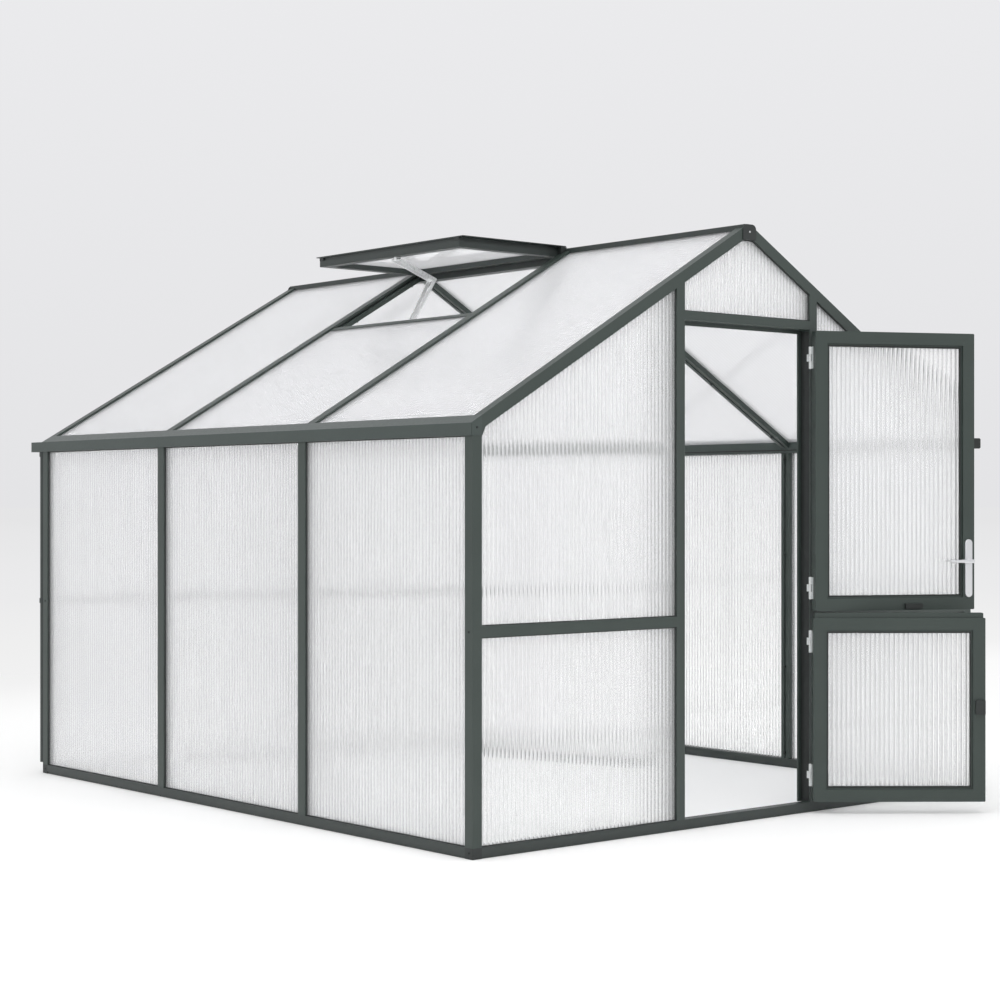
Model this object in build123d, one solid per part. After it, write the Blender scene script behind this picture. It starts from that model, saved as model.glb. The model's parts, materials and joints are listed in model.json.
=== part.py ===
from build123d import *
import os
from math import cos, hypot, radians, sin, tan

# Overall sizes in millimetres. X runs across the gable, Y into the house, Z up.
# The origin lies on the ground, under the middle of the door threshold.
width = 2500
length = 2770
base_height = 35
wall_top = 1317
roof_pitch = 30

# Aluminium frame sections
frame_depth = 38
post_face = 38
bar_face = 42
section_wall = 2
lip = 8
channel_depth = 14
bolt_slot = 7
foot_recess = 3
foot_height = 9

# Twin-wall glazing sheets
sheet = 10
sheet_slack = 0.2
sheet_seat = 12

# Gutter beams along the eaves
gutter_face = 40
gutter_width = 44
gutter_proud = 5
gutter_wall = 3
gutter_overhang = 90
waterway_height = 16
seal_groove = 5
seal_groove_depth = 4
seal_groove_rise = 9

# Ridge
ridge_width = 50
ridge_rise = 11
ridge_round = 3
ridge_cap_thickness = 3
ridge_cap_overlap = 8

# Gable frame
mid_rail_bottom = 688
mid_rail_height = 36
gusset_reach = 73
gusset_drop = 15
gusset_rise = 30

# Door opening, with a stop lip behind the leaves
door_opening = 634
jamb_face = 38
jamb_depth = 49
lintel_bottom = 1728
lintel_height = 31
stop_width = 14
stop_thickness = 7
stop_notch_play = 8

# Door leaves, hung on the right jamb
leaf_gap = 10
leaf_thickness = 36
leaf_foot_gap = 8
leaf_head_gap = 7
leaf_split = 698
upstand_height = 18
upstand_thickness = 22
upstand_inset = 6
leaf_round = 4
leaf_between_gap = 6
stile = 44
bead = 10
bead_recess = 8
upper_leaf_angle = 153.4
lower_leaf_angle = 140.3

# Butt hinges
hinge_height = 78
hinge_plate = 2.5
hinge_reach = 18
knuckle_radius = 5
knuckle_proud = 6
knuckle_gap = 0.5
hinge_pin_radius = 2
hinge_pin_clearance = 0.1
upper_hinge_heights = (803, 1627)
lower_hinge_heights = (134, 612)

# Lever handle and catches
plate_width = 28
plate_height = 210
plate_thickness = 7
plate_inset = 24
lever_height = 897
plate_drop = 26
lever_length = 91
lever_edge = 16
lever_round = 2.5
lever_thickness = 12
lever_standoff = 40
spindle_radius = 7
spindle_clearance = 0.1
side_catch_height = 1325
side_catch_size = 38
side_catch_reach = 46
side_catch_round = 6
side_catch_plate = 8
side_catch_clearance = 6
button_length = 66
button_height = 18
button_thickness = 12
button_inset = 240
button_middle = 736
lower_catch_width = 34
lower_catch_height = 50
lower_catch_thickness = 12
lower_catch_middle = 380

# Roof vent in the middle bay of the left slope
vent_sill = 460
vent_sill_width = 20
vent_sill_leg = 4
vent_side_gap = 3
vent_rail = 38
vent_flange = 3
vent_flange_overlap = 24
vent_hinge_start = 8
vent_flange_start = 2
vent_side_groove = 12
vent_groove_depth = 6
vent_groove_drop = 2
vent_length = 511
vent_stand = 13
vent_open_angle = 30
vent_roll_radius = 4
vent_roll_clearance = 0.3
vent_roll_depth = 3
vent_roll_drop = 7
vent_neck = 3
opener_offset = -40
opener_knee_x = 342
opener_knee_z = 1970
opener_arm_width = 14
opener_arm_thickness = 3
opener_arm_space = 34
opener_foot_space = 14
opener_pin_radius = 4
opener_spacer_radius = 6
opener_bracket = 16
opener_bracket_drop = 12

# Downpipes at the back end of the gutters
pipe_radius = 16
pipe_wall = 2
pipe_back_gap = 6
pipe_foot = 42
pipe_socket_height = 20
pipe_socket_wall = 3
pipe_clip_height = 20

# Places worked out from the sizes above
half_width = width / 2
y_front = -frame_depth / 2
y_back = y_front + length
y_middle = (y_front + y_back) / 2
slope = tan(radians(roof_pitch))
upright = 1 / cos(radians(roof_pitch))
eaves_x = half_width + gutter_proud
eaves_z = wall_top + gutter_face
gutter_inner_x = eaves_x - gutter_width
channel = sheet + 2 * sheet_slack
ridge_half = ridge_width / 2
rafter_drop = frame_depth * upright
mid_rail_top = mid_rail_bottom + mid_rail_height
door_half = door_opening / 2
jamb_outer = door_half + jamb_face
lintel_top = lintel_bottom + lintel_height
plate_middle = lever_height - plate_drop
bay = length / 3
bar_lines = [y_front + bay, y_front + 2 * bay]
front_to_back = Plane(origin=(0, y_middle, 0), z_dir=(0, 1, 0))
os.makedirs("parts", exist_ok=True)


def roof_z(x):
    """Height of the roof's outer plane at a distance x from the ridge line."""
    return eaves_z + (eaves_x - abs(x)) * slope


def block(x0, x1, y0, y1, z0, z1):
    """Box between two corners."""
    return Pos((x0 + x1) / 2, (y0 + y1) / 2, (z0 + z1) / 2) * Box(abs(x1 - x0), abs(y1 - y0), abs(z1 - z0))


def area(u0, u1, v0, v1):
    """Rectangle between two corners of a section sketch."""
    return Pos((u0 + u1) / 2, (v0 + v1) / 2) * Rectangle(abs(u1 - u0), abs(v1 - v0))


def along_y(points, y0, y1):
    """Prism whose outline is given in X and Z, carried from y0 to y1."""
    plane = Plane(origin=(0, y0, 0), x_dir=(1, 0, 0), z_dir=(0, -1, 0))
    outline = make_face(Polyline(*points, close=True))
    return extrude(plane * outline, amount=-(y1 - y0))


def carried(section, origin, across, run, distance):
    """Section sketch carried in a straight line: u goes across, and v goes run x across."""
    plane = Plane(origin=origin, x_dir=across, z_dir=run)
    return extrude(plane * section, amount=distance)


def mirrored(part):
    """The same piece on the other side of the house."""
    return mirror(part, about=Plane.YZ)


def turned_to_back(part):
    """The same piece on the back gable."""
    return mirror(part, about=front_to_back)


def bar_section(face, left_channel=True, right_channel=True):
    """Glazing bar: outer cap, web between the sheets and an inner box with a slot for bolts; v is the depth."""
    half = face / 2
    section = area(-half, half, 0, frame_depth)
    section -= area(-half + section_wall, half - section_wall, lip + channel + section_wall, frame_depth - section_wall)
    section -= area(-bolt_slot / 2, bolt_slot / 2, frame_depth - section_wall, frame_depth)
    if left_channel:
        section -= area(-half, -half + channel_depth, lip, lip + channel)
    if right_channel:
        section -= area(half - channel_depth, half, lip, lip + channel)
    return section


def corner_section():
    """Corner post: a square tube with one channel for each of the two walls that meet there."""
    section = area(0, post_face, 0, frame_depth)
    section -= area(post_face - channel_depth, post_face, lip, lip + channel)
    section -= area(lip, lip + channel, frame_depth - channel_depth, frame_depth)
    inner = lip + channel + section_wall
    section -= area(inner, post_face - section_wall, inner, frame_depth - section_wall)
    return section


def base_section(with_channel=True):
    """Base rail: u is the depth from outside and v is the height."""
    section = area(0, frame_depth, 0, base_height) - area(0, foot_recess, 0, foot_height)
    inner = lip + channel + section_wall
    section -= area(inner, frame_depth - section_wall, section_wall, base_height - section_wall)
    if with_channel:
        section -= area(lip, lip + channel, base_height - channel_depth, base_height)
    return section


def roof_slab(x0, x1, y0, y1, top, bottom):
    """Slab of the left slope between two depths under the roof plane, with upright ends."""
    points = [
        (-x0, roof_z(x0) - top * upright),
        (-x1, roof_z(x1) - top * upright),
        (-x1, roof_z(x1) - bottom * upright),
        (-x0, roof_z(x0) - bottom * upright),
    ]
    return along_y(points, y0, y1)


def gable_sheet(points, grow, front, back):
    """Sheet or pocket behind the front wall's lip: the daylight outline grown into the frame."""
    outline = make_face(Polyline(*points, close=True))
    outline = offset(outline, amount=grow, kind=Kind.INTERSECTION)
    plane = Plane(origin=(0, y_front + front, 0), x_dir=(1, 0, 0), z_dir=(0, -1, 0))
    return extrude(plane * outline, amount=-(back - front))


def write(name, *solids):
    """Write the solids of one named piece."""
    shapes = []
    for solid in solids:
        shapes += solid.solids()
    piece = shapes[0] if len(shapes) == 1 else Compound(children=shapes)
    piece.label = name
    export_step(piece, os.path.join("parts", name + ".step"))
    pieces[name] = piece


pieces = {}

# Outlines of the light between the front gable's bars, left side and middle
gusset = [
    (-gutter_inner_x, wall_top),
    (-gutter_inner_x + gusset_drop, wall_top + gusset_rise),
    (-gutter_inner_x + gusset_reach, roof_z(gutter_inner_x - gusset_reach) - rafter_drop),
]
post_inner = half_width - post_face
low_light = [
    (-post_inner, base_height),
    (-jamb_outer, base_height),
    (-jamb_outer, mid_rail_bottom),
    (-post_inner, mid_rail_bottom),
]
high_light = [
    (-post_inner, mid_rail_top),
    (-jamb_outer, mid_rail_top),
    (-jamb_outer, roof_z(jamb_outer) - rafter_drop),
    gusset[2],
    gusset[1],
    (-post_inner, wall_top),
]
ridge_bottom = roof_z(ridge_half) - rafter_drop
top_light = [
    (-door_half, lintel_top),
    (door_half, lintel_top),
    (door_half, roof_z(door_half) - rafter_drop),
    (ridge_half, ridge_bottom),
    (-ridge_half, ridge_bottom),
    (-door_half, roof_z(door_half) - rafter_drop),
]
pocket_span = (lip, lip + channel)
sheet_span = (lip + sheet_slack, lip + sheet_slack + sheet)
high_pocket = gable_sheet(high_light, channel_depth, *pocket_span)
top_pocket = gable_sheet(top_light, channel_depth, *pocket_span)
front_pockets = [high_pocket, mirrored(high_pocket), top_pocket]
back_pockets = [turned_to_back(pocket) for pocket in front_pockets]

# Roof bays: light between the rafters and bars, for sheets and their pockets
roof_bays = [
    (y_front + frame_depth, bar_lines[0] - bar_face / 2),
    (bar_lines[0] + bar_face / 2, bar_lines[1] - bar_face / 2),
    (bar_lines[1] + bar_face / 2, y_back - frame_depth),
]
vent_foot = vent_sill + vent_sill_width
sill_top = lip - section_wall
sill_bottom = lip + channel + section_wall


def roof_sheet(bay_index, top_x, grow, top, bottom):
    """Sheet or pocket of one roof bay on the left slope, from the gutter up to top_x."""
    y0, y1 = roof_bays[bay_index]
    return roof_slab(gutter_inner_x + grow, top_x - grow, y0 - grow, y1 + grow, top, bottom)


left_tops = (ridge_half, vent_foot, ridge_half)
left_roof_pockets = [roof_sheet(i, left_tops[i], channel_depth, *pocket_span) for i in range(3)]
left_roof_sheets = [roof_sheet(i, left_tops[i], sheet_seat, *sheet_span) for i in range(3)]
right_roof_pockets = [mirrored(roof_sheet(i, ridge_half, channel_depth, *pocket_span)) for i in range(3)]
right_roof_sheets = [mirrored(roof_sheet(i, ridge_half, sheet_seat, *sheet_span)) for i in range(3)]

# Base frame: four rails between corner blocks, with a plain threshold under the door
left_base = carried(
    base_section(), (-half_width, y_back - post_face, 0), (1, 0, 0), (0, -1, 0), length - 2 * post_face
)
channel_end = jamb_outer - channel_depth
front_base = carried(
    base_section(), (-post_inner, y_front, 0), (0, 1, 0), (1, 0, 0), post_inner - channel_end
)
threshold = carried(
    base_section(with_channel=False), (-channel_end, y_front, 0), (0, 1, 0), (1, 0, 0), 2 * channel_end
)
back_base = carried(
    base_section(), (-post_inner, y_front, 0), (0, 1, 0), (1, 0, 0), 2 * post_inner
)
write("base_rail_left", left_base)
write("base_rail_right", mirrored(left_base))
write("base_rail_front", front_base + threshold + mirrored(front_base))
write("base_rail_back", turned_to_back(back_base))
corner_block = block(-half_width, -post_inner, y_front, y_front + post_face, 0, base_height)
corner_block -= block(
    -post_inner - channel_depth, -post_inner, y_front + lip, y_front + lip + channel,
    base_height - channel_depth, base_height,
)
corner_block -= block(
    -half_width + lip, -half_width + lip + channel, y_front + post_face - channel_depth, y_front + post_face,
    base_height - channel_depth, base_height,
)
corner_blocks = [corner_block, mirrored(corner_block)]
write("base_corner_blocks", *corner_blocks, *[turned_to_back(b) for b in corner_blocks])

# Corner posts and side wall bars
front_left_post = carried(
    corner_section(), (-half_width, y_front, base_height), (1, 0, 0), (0, 0, 1), wall_top - base_height
)
write("corner_post_front_left", front_left_post)
write("corner_post_front_right", mirrored(front_left_post))
write("corner_post_back_left", turned_to_back(front_left_post))
write("corner_post_back_right", mirrored(turned_to_back(front_left_post)))
left_bars = [
    carried(bar_section(bar_face), (-half_width, y, base_height), (0, -1, 0), (0, 0, 1), wall_top - base_height)
    for y in bar_lines
]
write("left_wall_bars", *left_bars)
write("right_wall_bars", *[mirrored(bar) for bar in left_bars])

# Gutter beams: fascia, waterway and the sloping edge that holds the roof sheets
gutter_outline = [
    (-eaves_x, wall_top),
    (-eaves_x, eaves_z),
    (-gutter_inner_x, roof_z(gutter_inner_x)),
    (-gutter_inner_x, wall_top),
]
trough_end = y_back + gutter_overhang
waterway_low = wall_top + channel_depth + gutter_wall
left_gutter = along_y(gutter_outline, y_front, y_back)
left_gutter += block(-eaves_x, -gutter_inner_x, y_back, trough_end, wall_top, eaves_z)
left_gutter -= block(
    -eaves_x + gutter_wall, -gutter_inner_x - gutter_wall, y_front + gutter_wall, y_back + gutter_wall,
    waterway_low, waterway_low + waterway_height,
)
left_gutter -= block(
    -eaves_x + gutter_wall, -gutter_inner_x - gutter_wall, y_back + gutter_wall, trough_end - gutter_wall,
    wall_top + gutter_wall, eaves_z,
)
left_gutter -= block(
    -half_width + lip, -half_width + lip + channel, y_front + post_face - channel_depth,
    y_back - post_face + channel_depth, wall_top, wall_top + channel_depth,
)
left_gutter -= block(
    -gutter_inner_x - seal_groove_depth, -gutter_inner_x, y_front, y_back,
    wall_top + seal_groove_rise, wall_top + seal_groove_rise + seal_groove,
)
for pocket in left_roof_pockets:
    left_gutter -= pocket
left_gutter -= front_pockets[0]
left_gutter -= back_pockets[0]
pipe_x = eaves_x - gutter_width / 2
pipe_y = y_back + pipe_back_gap + pipe_radius
outlet = Pos(-pipe_x, pipe_y, wall_top) * Cylinder(pipe_radius - pipe_wall, 4 * gutter_wall)
left_gutter -= outlet
write("left_gutter_beam", left_gutter)
write("right_gutter_beam", mirrored(left_gutter))

# Downpipes with a socket under the gutter and a clip to the back corner post
pipe = Pos(-pipe_x, pipe_y, (pipe_foot + wall_top) / 2) * Cylinder(pipe_radius, wall_top - pipe_foot)
pipe += Pos(-pipe_x, pipe_y, wall_top - pipe_socket_height / 2) * Cylinder(
    pipe_radius + pipe_socket_wall, pipe_socket_height
)
clip_z = mid_rail_bottom + mid_rail_height / 2
pipe += Pos(-pipe_x, pipe_y, clip_z) * Cylinder(pipe_radius + pipe_socket_wall, pipe_clip_height)
pipe += block(
    -pipe_x - pipe_radius / 2, -pipe_x + pipe_radius / 2, y_back, pipe_y,
    clip_z - pipe_clip_height / 2, clip_z + pipe_clip_height / 2,
)
pipe -= Pos(-pipe_x, pipe_y, (pipe_foot + wall_top) / 2) * Cylinder(pipe_radius - pipe_wall, wall_top - pipe_foot)
write("downpipes", pipe, mirrored(pipe))

# Ridge beam with rounded end caps
ridge_top = roof_z(ridge_half) + ridge_rise
ridge_edge = [
    (-ridge_half, ridge_bottom),
    (-ridge_half, ridge_top),
    (ridge_half, ridge_top),
    (ridge_half, ridge_bottom),
]
ridge = along_y(ridge_edge, y_front, y_back)
top_edges = [e for e in ridge.edges().filter_by(Axis.Y) if e.center().Z > ridge_top - 1]
ridge = fillet(top_edges, ridge_round)
for pocket in [left_roof_pockets[0], left_roof_pockets[2], *right_roof_pockets, front_pockets[2], back_pockets[2]]:
    ridge -= pocket
vent_y0, vent_y1 = roof_bays[1]
vent_axis_x = ridge_half - vent_roll_depth
vent_axis_z = ridge_top - vent_roll_drop
upper_room = ridge_half - channel_depth + section_wall
lower_top = roof_z(ridge_half) - (lip + channel) * upright - section_wall
ridge -= block(
    -upper_room, upper_room, y_front, y_back, roof_z(ridge_half) - lip * upright + 2 * section_wall,
    ridge_top - section_wall,
)
ridge -= block(
    -ridge_half + section_wall, ridge_half - section_wall, y_front, y_back, ridge_bottom + section_wall, lower_top
)
vent_groove = Pos(-vent_axis_x, y_middle, vent_axis_z) * Rotation(90, 0, 0) * Cylinder(
    vent_roll_radius + vent_roll_clearance, vent_y1 - vent_y0
)
ridge -= vent_groove
write("ridge_beam", ridge)
cap_half = ridge_half + ridge_cap_overlap
cap_edge = [
    (-cap_half, ridge_bottom),
    (-cap_half, ridge_top),
    (cap_half, ridge_top),
    (cap_half, ridge_bottom),
]
ridge_cap = along_y(cap_edge, y_front - ridge_cap_thickness, y_front)
shoulders = [e for e in ridge_cap.edges().filter_by(Axis.Y) if e.center().Z > ridge_top - 1]
ridge_cap = fillet(shoulders, 2.4 * ridge_cap_overlap)
write("ridge_end_caps", ridge_cap, turned_to_back(ridge_cap))

# Gable rafters with a gusset at the foot
rafter_points = [
    (-gutter_inner_x, wall_top),
    (-gutter_inner_x, roof_z(gutter_inner_x)),
    (-ridge_half, roof_z(ridge_half)),
    (-ridge_half, ridge_bottom),
    gusset[2],
    gusset[1],
]
rafter_room = roof_slab(
    gutter_inner_x - gusset_reach, ridge_half, y_front + section_wall,
    y_front + frame_depth - channel_depth - section_wall, section_wall, frame_depth - channel_depth - section_wall,
)
left_rafter = along_y(rafter_points, y_front, y_front + frame_depth)
for pocket in [front_pockets[0], front_pockets[2], left_roof_pockets[0], rafter_room]:
    left_rafter -= pocket
back_rafter = turned_to_back(along_y(rafter_points, y_front, y_front + frame_depth))
for pocket in [back_pockets[0], back_pockets[2], left_roof_pockets[2], turned_to_back(rafter_room)]:
    back_rafter -= pocket
write("front_rafters", left_rafter, mirrored(left_rafter))
write("back_rafters", back_rafter, mirrored(back_rafter))

# Roof bars on both slopes, between the gutter beams and the ridge
slope_run = (cos(radians(roof_pitch)), 0, sin(radians(roof_pitch)))
slope_length = (eaves_x + frame_depth) * upright


def roof_bar(y):
    """Left slope's bar on the line y, cut upright at the gutter and the ridge."""
    bar = carried(bar_section(bar_face), (-eaves_x, y, eaves_z), (0, -1, 0), slope_run, slope_length)
    room = block(-gutter_inner_x, -ridge_half, y - bar_face, y + bar_face, 0, 2 * ridge_top)
    return bar & room


left_roof_bars = [roof_bar(y) for y in bar_lines]
write("left_roof_bars", *left_roof_bars)
write("right_roof_bars", *[mirrored(bar) for bar in left_roof_bars])

# Door jambs, running from the base rail up to the rafters, with the leaves' stop lip
jamb_section = area(0, jamb_face, 0, jamb_depth)
jamb_section -= area(jamb_face - channel_depth, jamb_face, lip, lip + channel)
jamb_section -= area(section_wall, jamb_face - section_wall, lip + channel + section_wall, jamb_depth - section_wall)
right_jamb = carried(jamb_section, (door_half, y_front, base_height), (1, 0, 0), (0, 0, 1), ridge_top)
under_roof = along_y(
    [
        (-eaves_x, 0),
        (eaves_x, 0),
        (eaves_x, eaves_z - rafter_drop),
        (0, roof_z(0) - rafter_drop),
        (-eaves_x, eaves_z - rafter_drop),
    ],
    y_front - length, y_back + length,
)
right_jamb = right_jamb & under_roof
right_jamb += block(
    door_half - stop_width, door_half, y_front + jamb_depth - stop_thickness, y_front + jamb_depth,
    base_height, lintel_bottom,
)
right_jamb -= top_pocket
left_jamb = mirrored(right_jamb)
left_jamb -= block(
    -door_half, -door_half + stop_width, y_front + jamb_depth - stop_thickness, y_front + jamb_depth,
    lower_catch_middle - lower_catch_height / 2 - stop_notch_play,
    lower_catch_middle + lower_catch_height / 2 + stop_notch_play,
)
write("door_jambs", left_jamb, right_jamb)
lintel = block(-door_half, door_half, y_front, y_front + jamb_depth, lintel_bottom, lintel_top)
lintel += block(
    -door_half + stop_width, door_half - stop_width, y_front + jamb_depth - stop_thickness,
    y_front + jamb_depth, lintel_bottom - stop_width, lintel_bottom,
)
lintel -= block(
    -door_half, door_half, y_front + lip + channel + section_wall, y_front + jamb_depth - section_wall,
    lintel_bottom + section_wall, lintel_top - section_wall,
)
lintel -= top_pocket
write("door_lintel", lintel)

# Mid rails of the front wall, and posts and mid rails of the back wall
mid_section = bar_section(mid_rail_height)
mid_z = mid_rail_bottom + mid_rail_height / 2


def mid_rail(x0, x1):
    """Front mid rail between two uprights, with a channel above and below."""
    return carried(mid_section, (x0, y_front, mid_z), (0, 0, -1), (1, 0, 0), x1 - x0)


front_mid = mid_rail(-post_inner, -jamb_outer)
write("front_mid_rails", front_mid, mirrored(front_mid))
back_post_inner = jamb_outer - bar_face
back_post = carried(
    bar_section(bar_face), (jamb_outer - bar_face / 2, y_front, base_height), (1, 0, 0), (0, 0, 1), ridge_top
)
back_post = turned_to_back(back_post & under_roof)
write("back_wall_posts", mirrored(back_post), back_post)
back_middle = mid_rail(-back_post_inner, back_post_inner)
write("back_mid_rails", *[turned_to_back(rail) for rail in (front_mid, back_middle, mirrored(front_mid))])

# Glazing sheets, each in its channels
low_sheet = gable_sheet(low_light, sheet_seat, *sheet_span)
high_sheet = gable_sheet(high_light, sheet_seat, *sheet_span)
top_sheet = gable_sheet(top_light, sheet_seat, *sheet_span)
front_sheets = [low_sheet, mirrored(low_sheet), high_sheet, mirrored(high_sheet), top_sheet]
write("front_wall_glazing", *front_sheets)
back_low_light = [
    (-back_post_inner, base_height),
    (back_post_inner, base_height),
    (back_post_inner, mid_rail_bottom),
    (-back_post_inner, mid_rail_bottom),
]
back_high_light = [
    (-back_post_inner, mid_rail_top),
    (back_post_inner, mid_rail_top),
    (back_post_inner, roof_z(back_post_inner) - rafter_drop),
    (ridge_half, ridge_bottom),
    (-ridge_half, ridge_bottom),
    (-back_post_inner, roof_z(back_post_inner) - rafter_drop),
]
back_low = gable_sheet(back_low_light, sheet_seat, *sheet_span)
back_high = gable_sheet(back_high_light, sheet_seat, *sheet_span)
back_sheets = [low_sheet, mirrored(low_sheet), high_sheet, mirrored(high_sheet), back_low, back_high]
write("back_wall_glazing", *[turned_to_back(s) for s in back_sheets])
wall_bays = [
    (y_front + post_face, bar_lines[0] - bar_face / 2),
    (bar_lines[0] + bar_face / 2, bar_lines[1] - bar_face / 2),
    (bar_lines[1] + bar_face / 2, y_back - post_face),
]
sheet_x = half_width - lip - sheet_slack
left_sheets = [
    block(-sheet_x, -sheet_x + sheet, y0 - sheet_seat, y1 + sheet_seat, base_height - sheet_seat, wall_top + sheet_seat)
    for y0, y1 in wall_bays
]
write("left_wall_glazing", *left_sheets)
write("right_wall_glazing", *[mirrored(s) for s in left_sheets])
write("left_roof_glazing", *left_roof_sheets)
write("right_roof_glazing", *right_roof_sheets)

# Roof vent: a sill bar across the middle bay, and a sash propped open
vent_y0, vent_y1 = roof_bays[1]
sill = roof_slab(vent_foot, vent_sill, vent_y0, vent_y1, sill_top, sill_bottom) - left_roof_pockets[1]
sill += roof_slab(vent_sill + vent_sill_leg, vent_sill, vent_y0, vent_y1, sill_top, frame_depth)
write("vent_sill", sill)
sash_y0 = vent_y0 + vent_side_gap
sash_y1 = vent_y1 - vent_side_gap
flange_y0 = sash_y0 - vent_flange_overlap
flange_y1 = sash_y1 + vent_flange_overlap
sash_top = vent_stand


def sash_block(s0, s1, y0, y1, w0, w1):
    """Box in the open sash's own directions: s runs from the hinge outwards, w upwards."""
    local = block(-s1, -s0, y0, y1, w0, w1)
    lift = Rotation(0, vent_open_angle - roof_pitch, 0)
    return Pos(-vent_axis_x, 0, vent_axis_z) * lift * local


sash_bottom = sash_top - vent_rail
light = (vent_hinge_start + vent_rail, vent_length - vent_rail, sash_y0 + vent_rail, sash_y1 - vent_rail)
sash = sash_block(vent_hinge_start, vent_length, sash_y0, sash_y1, sash_bottom, sash_top)
groove_top = sash_top - vent_groove_drop
groove_edge = vent_length - vent_groove_depth
sash -= sash_block(groove_edge, vent_length, sash_y0, sash_y1, groove_top - vent_side_groove, groove_top)
for edge, inner in ((sash_y0, sash_y0 + vent_groove_depth), (sash_y1 - vent_groove_depth, sash_y1)):
    sash -= sash_block(vent_hinge_start, vent_length, edge, inner, groove_top - vent_side_groove, groove_top)
sash += sash_block(vent_flange_start, vent_length, flange_y0, flange_y1, sash_top, sash_top + vent_flange)
sash += sash_block(0, vent_hinge_start, sash_y0, sash_y1, -vent_neck / 2, vent_neck / 2)
sash -= sash_block(*light, sash_bottom, sash_top + vent_flange)
pane = (light[0] - channel_depth, light[1] + channel_depth, light[2] - channel_depth, light[3] + channel_depth)
sash -= sash_block(*pane, sash_top - lip - channel, sash_top - lip)
sash += Pos(-vent_axis_x, (sash_y0 + sash_y1) / 2, vent_axis_z) * Rotation(90, 0, 0) * Cylinder(
    vent_roll_radius, sash_y1 - sash_y0
)
write("vent_sash", sash)
play = channel_depth - sheet_seat
sash_sheet = sash_block(
    pane[0] + play, pane[1] - play, pane[2] + play, pane[3] - play,
    sash_top - lip - sheet_slack - sheet, sash_top - lip - sheet_slack,
)
write("vent_glazing", sash_sheet)


# Vent opener: a folding stay of paired flat arms, pinned at the knee and held by two brackets
opener_y = y_middle + opener_offset
knee = (-opener_knee_x, opener_knee_z)
foot_pin = (-vent_sill + opener_bracket / 2, roof_z(vent_sill) - (sill_top + frame_depth) / 2 * upright)
sash_pin = (-vent_axis_x - vent_length + vent_rail / 2, vent_axis_z + sash_bottom - opener_bracket_drop)


def opener_rod(x, z, radius, space):
    """Round rod across the arms."""
    return Pos(x, opener_y, z) * Rotation(90, 0, 0) * Cylinder(radius, space)


def opener_arm(start, end, start_space, end_space, side):
    """Flat arm on one side of the stay, from a start to an end given in X and Z."""
    first = Vector(start[0], opener_y + side * start_space / 2, start[1])
    last = Vector(end[0], opener_y + side * end_space / 2, end[1])
    across = (last - first).cross(Vector(0, 1, 0))
    plane = Plane(origin=first, x_dir=across, z_dir=last - first)
    return extrude(plane * Rectangle(opener_arm_width, opener_arm_thickness), amount=(last - first).length)


knee_space = opener_arm_space + 2 * opener_arm_thickness
opener = opener_rod(*knee, opener_spacer_radius, opener_arm_space)
opener += opener_rod(*knee, opener_pin_radius, knee_space + 2 * opener_pin_radius)
opener += opener_rod(*foot_pin, opener_pin_radius, opener_foot_space + 2 * opener_pin_radius)
opener += opener_rod(*sash_pin, opener_pin_radius, knee_space + opener_pin_radius)
for side in (-1, 1):
    opener += opener_arm(foot_pin, knee, opener_foot_space, opener_arm_space, side)
    opener += opener_arm(knee, sash_pin, opener_arm_space, opener_arm_space, side)
    for x, z in (knee, sash_pin):
        opener += Pos(0, side * opener_arm_space / 2, 0) * opener_rod(
            x, z, opener_arm_width / 2, opener_arm_thickness
        )
opener += block(
    -vent_sill, foot_pin[0] + opener_bracket / 4, opener_y - opener_foot_space / 2 + opener_arm_thickness,
    opener_y + opener_foot_space / 2 - opener_arm_thickness, foot_pin[1] - opener_bracket / 2,
    foot_pin[1] + opener_bracket / 2,
)
opener += block(
    sash_pin[0] - opener_bracket / 2, sash_pin[0] + opener_bracket / 2, opener_y - opener_arm_space / 4,
    opener_y + opener_arm_space / 4, sash_pin[1] - opener_pin_radius, vent_axis_z + sash_bottom,
)
write("vent_opener", opener)

# Door leaves, made closed and then turned open about the hinge line
leaf_width = door_opening - 2 * leaf_gap
hinge_x = door_half - leaf_gap / 2
hinge_y = y_front - knuckle_proud
leaf_right = door_half - leaf_gap
leaf_left = leaf_right - leaf_width
leaf_outer = y_front
leaf_inner = y_front + leaf_thickness
lower_bottom = base_height + leaf_foot_gap
upper_bottom = leaf_split + upstand_height + leaf_between_gap
upper_top = lintel_bottom - leaf_head_gap


def swung(part, angle):
    """Turn a closed piece open about the hinge line."""
    return Pos(hinge_x, hinge_y, 0) * Rotation(0, 0, angle) * Pos(-hinge_x, -hinge_y, 0) * part


def leaf_frame(z0, z1):
    """Leaf frame with glazing beads on both faces and a pocket for the sheet."""
    frame = block(leaf_left, leaf_right, leaf_outer, leaf_inner, z0, z1)
    frame = fillet(frame.edges().filter_by(Axis.Y), leaf_round)
    clear = stile + bead
    frame -= block(leaf_left + clear, leaf_right - clear, leaf_outer, leaf_inner, z0 + clear, z1 - clear)
    for y0, y1 in ((leaf_outer, leaf_outer + bead_recess), (leaf_inner - bead_recess, leaf_inner)):
        frame -= block(leaf_left + stile, leaf_right - stile, y0, y1, z0 + stile, z1 - stile)
    middle = (leaf_outer + leaf_inner) / 2
    inset = clear - channel_depth
    frame -= block(
        leaf_left + inset, leaf_right - inset, middle - channel / 2, middle + channel / 2, z0 + inset, z1 - inset
    )
    return frame


def leaf_sheet(z0, z1):
    """Glazing sheet of a leaf."""
    middle = (leaf_outer + leaf_inner) / 2
    inset = stile + bead - sheet_seat
    return block(
        leaf_left + inset, leaf_right - inset, middle - sheet / 2, middle + sheet / 2, z0 + inset, z1 - inset
    )


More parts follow.
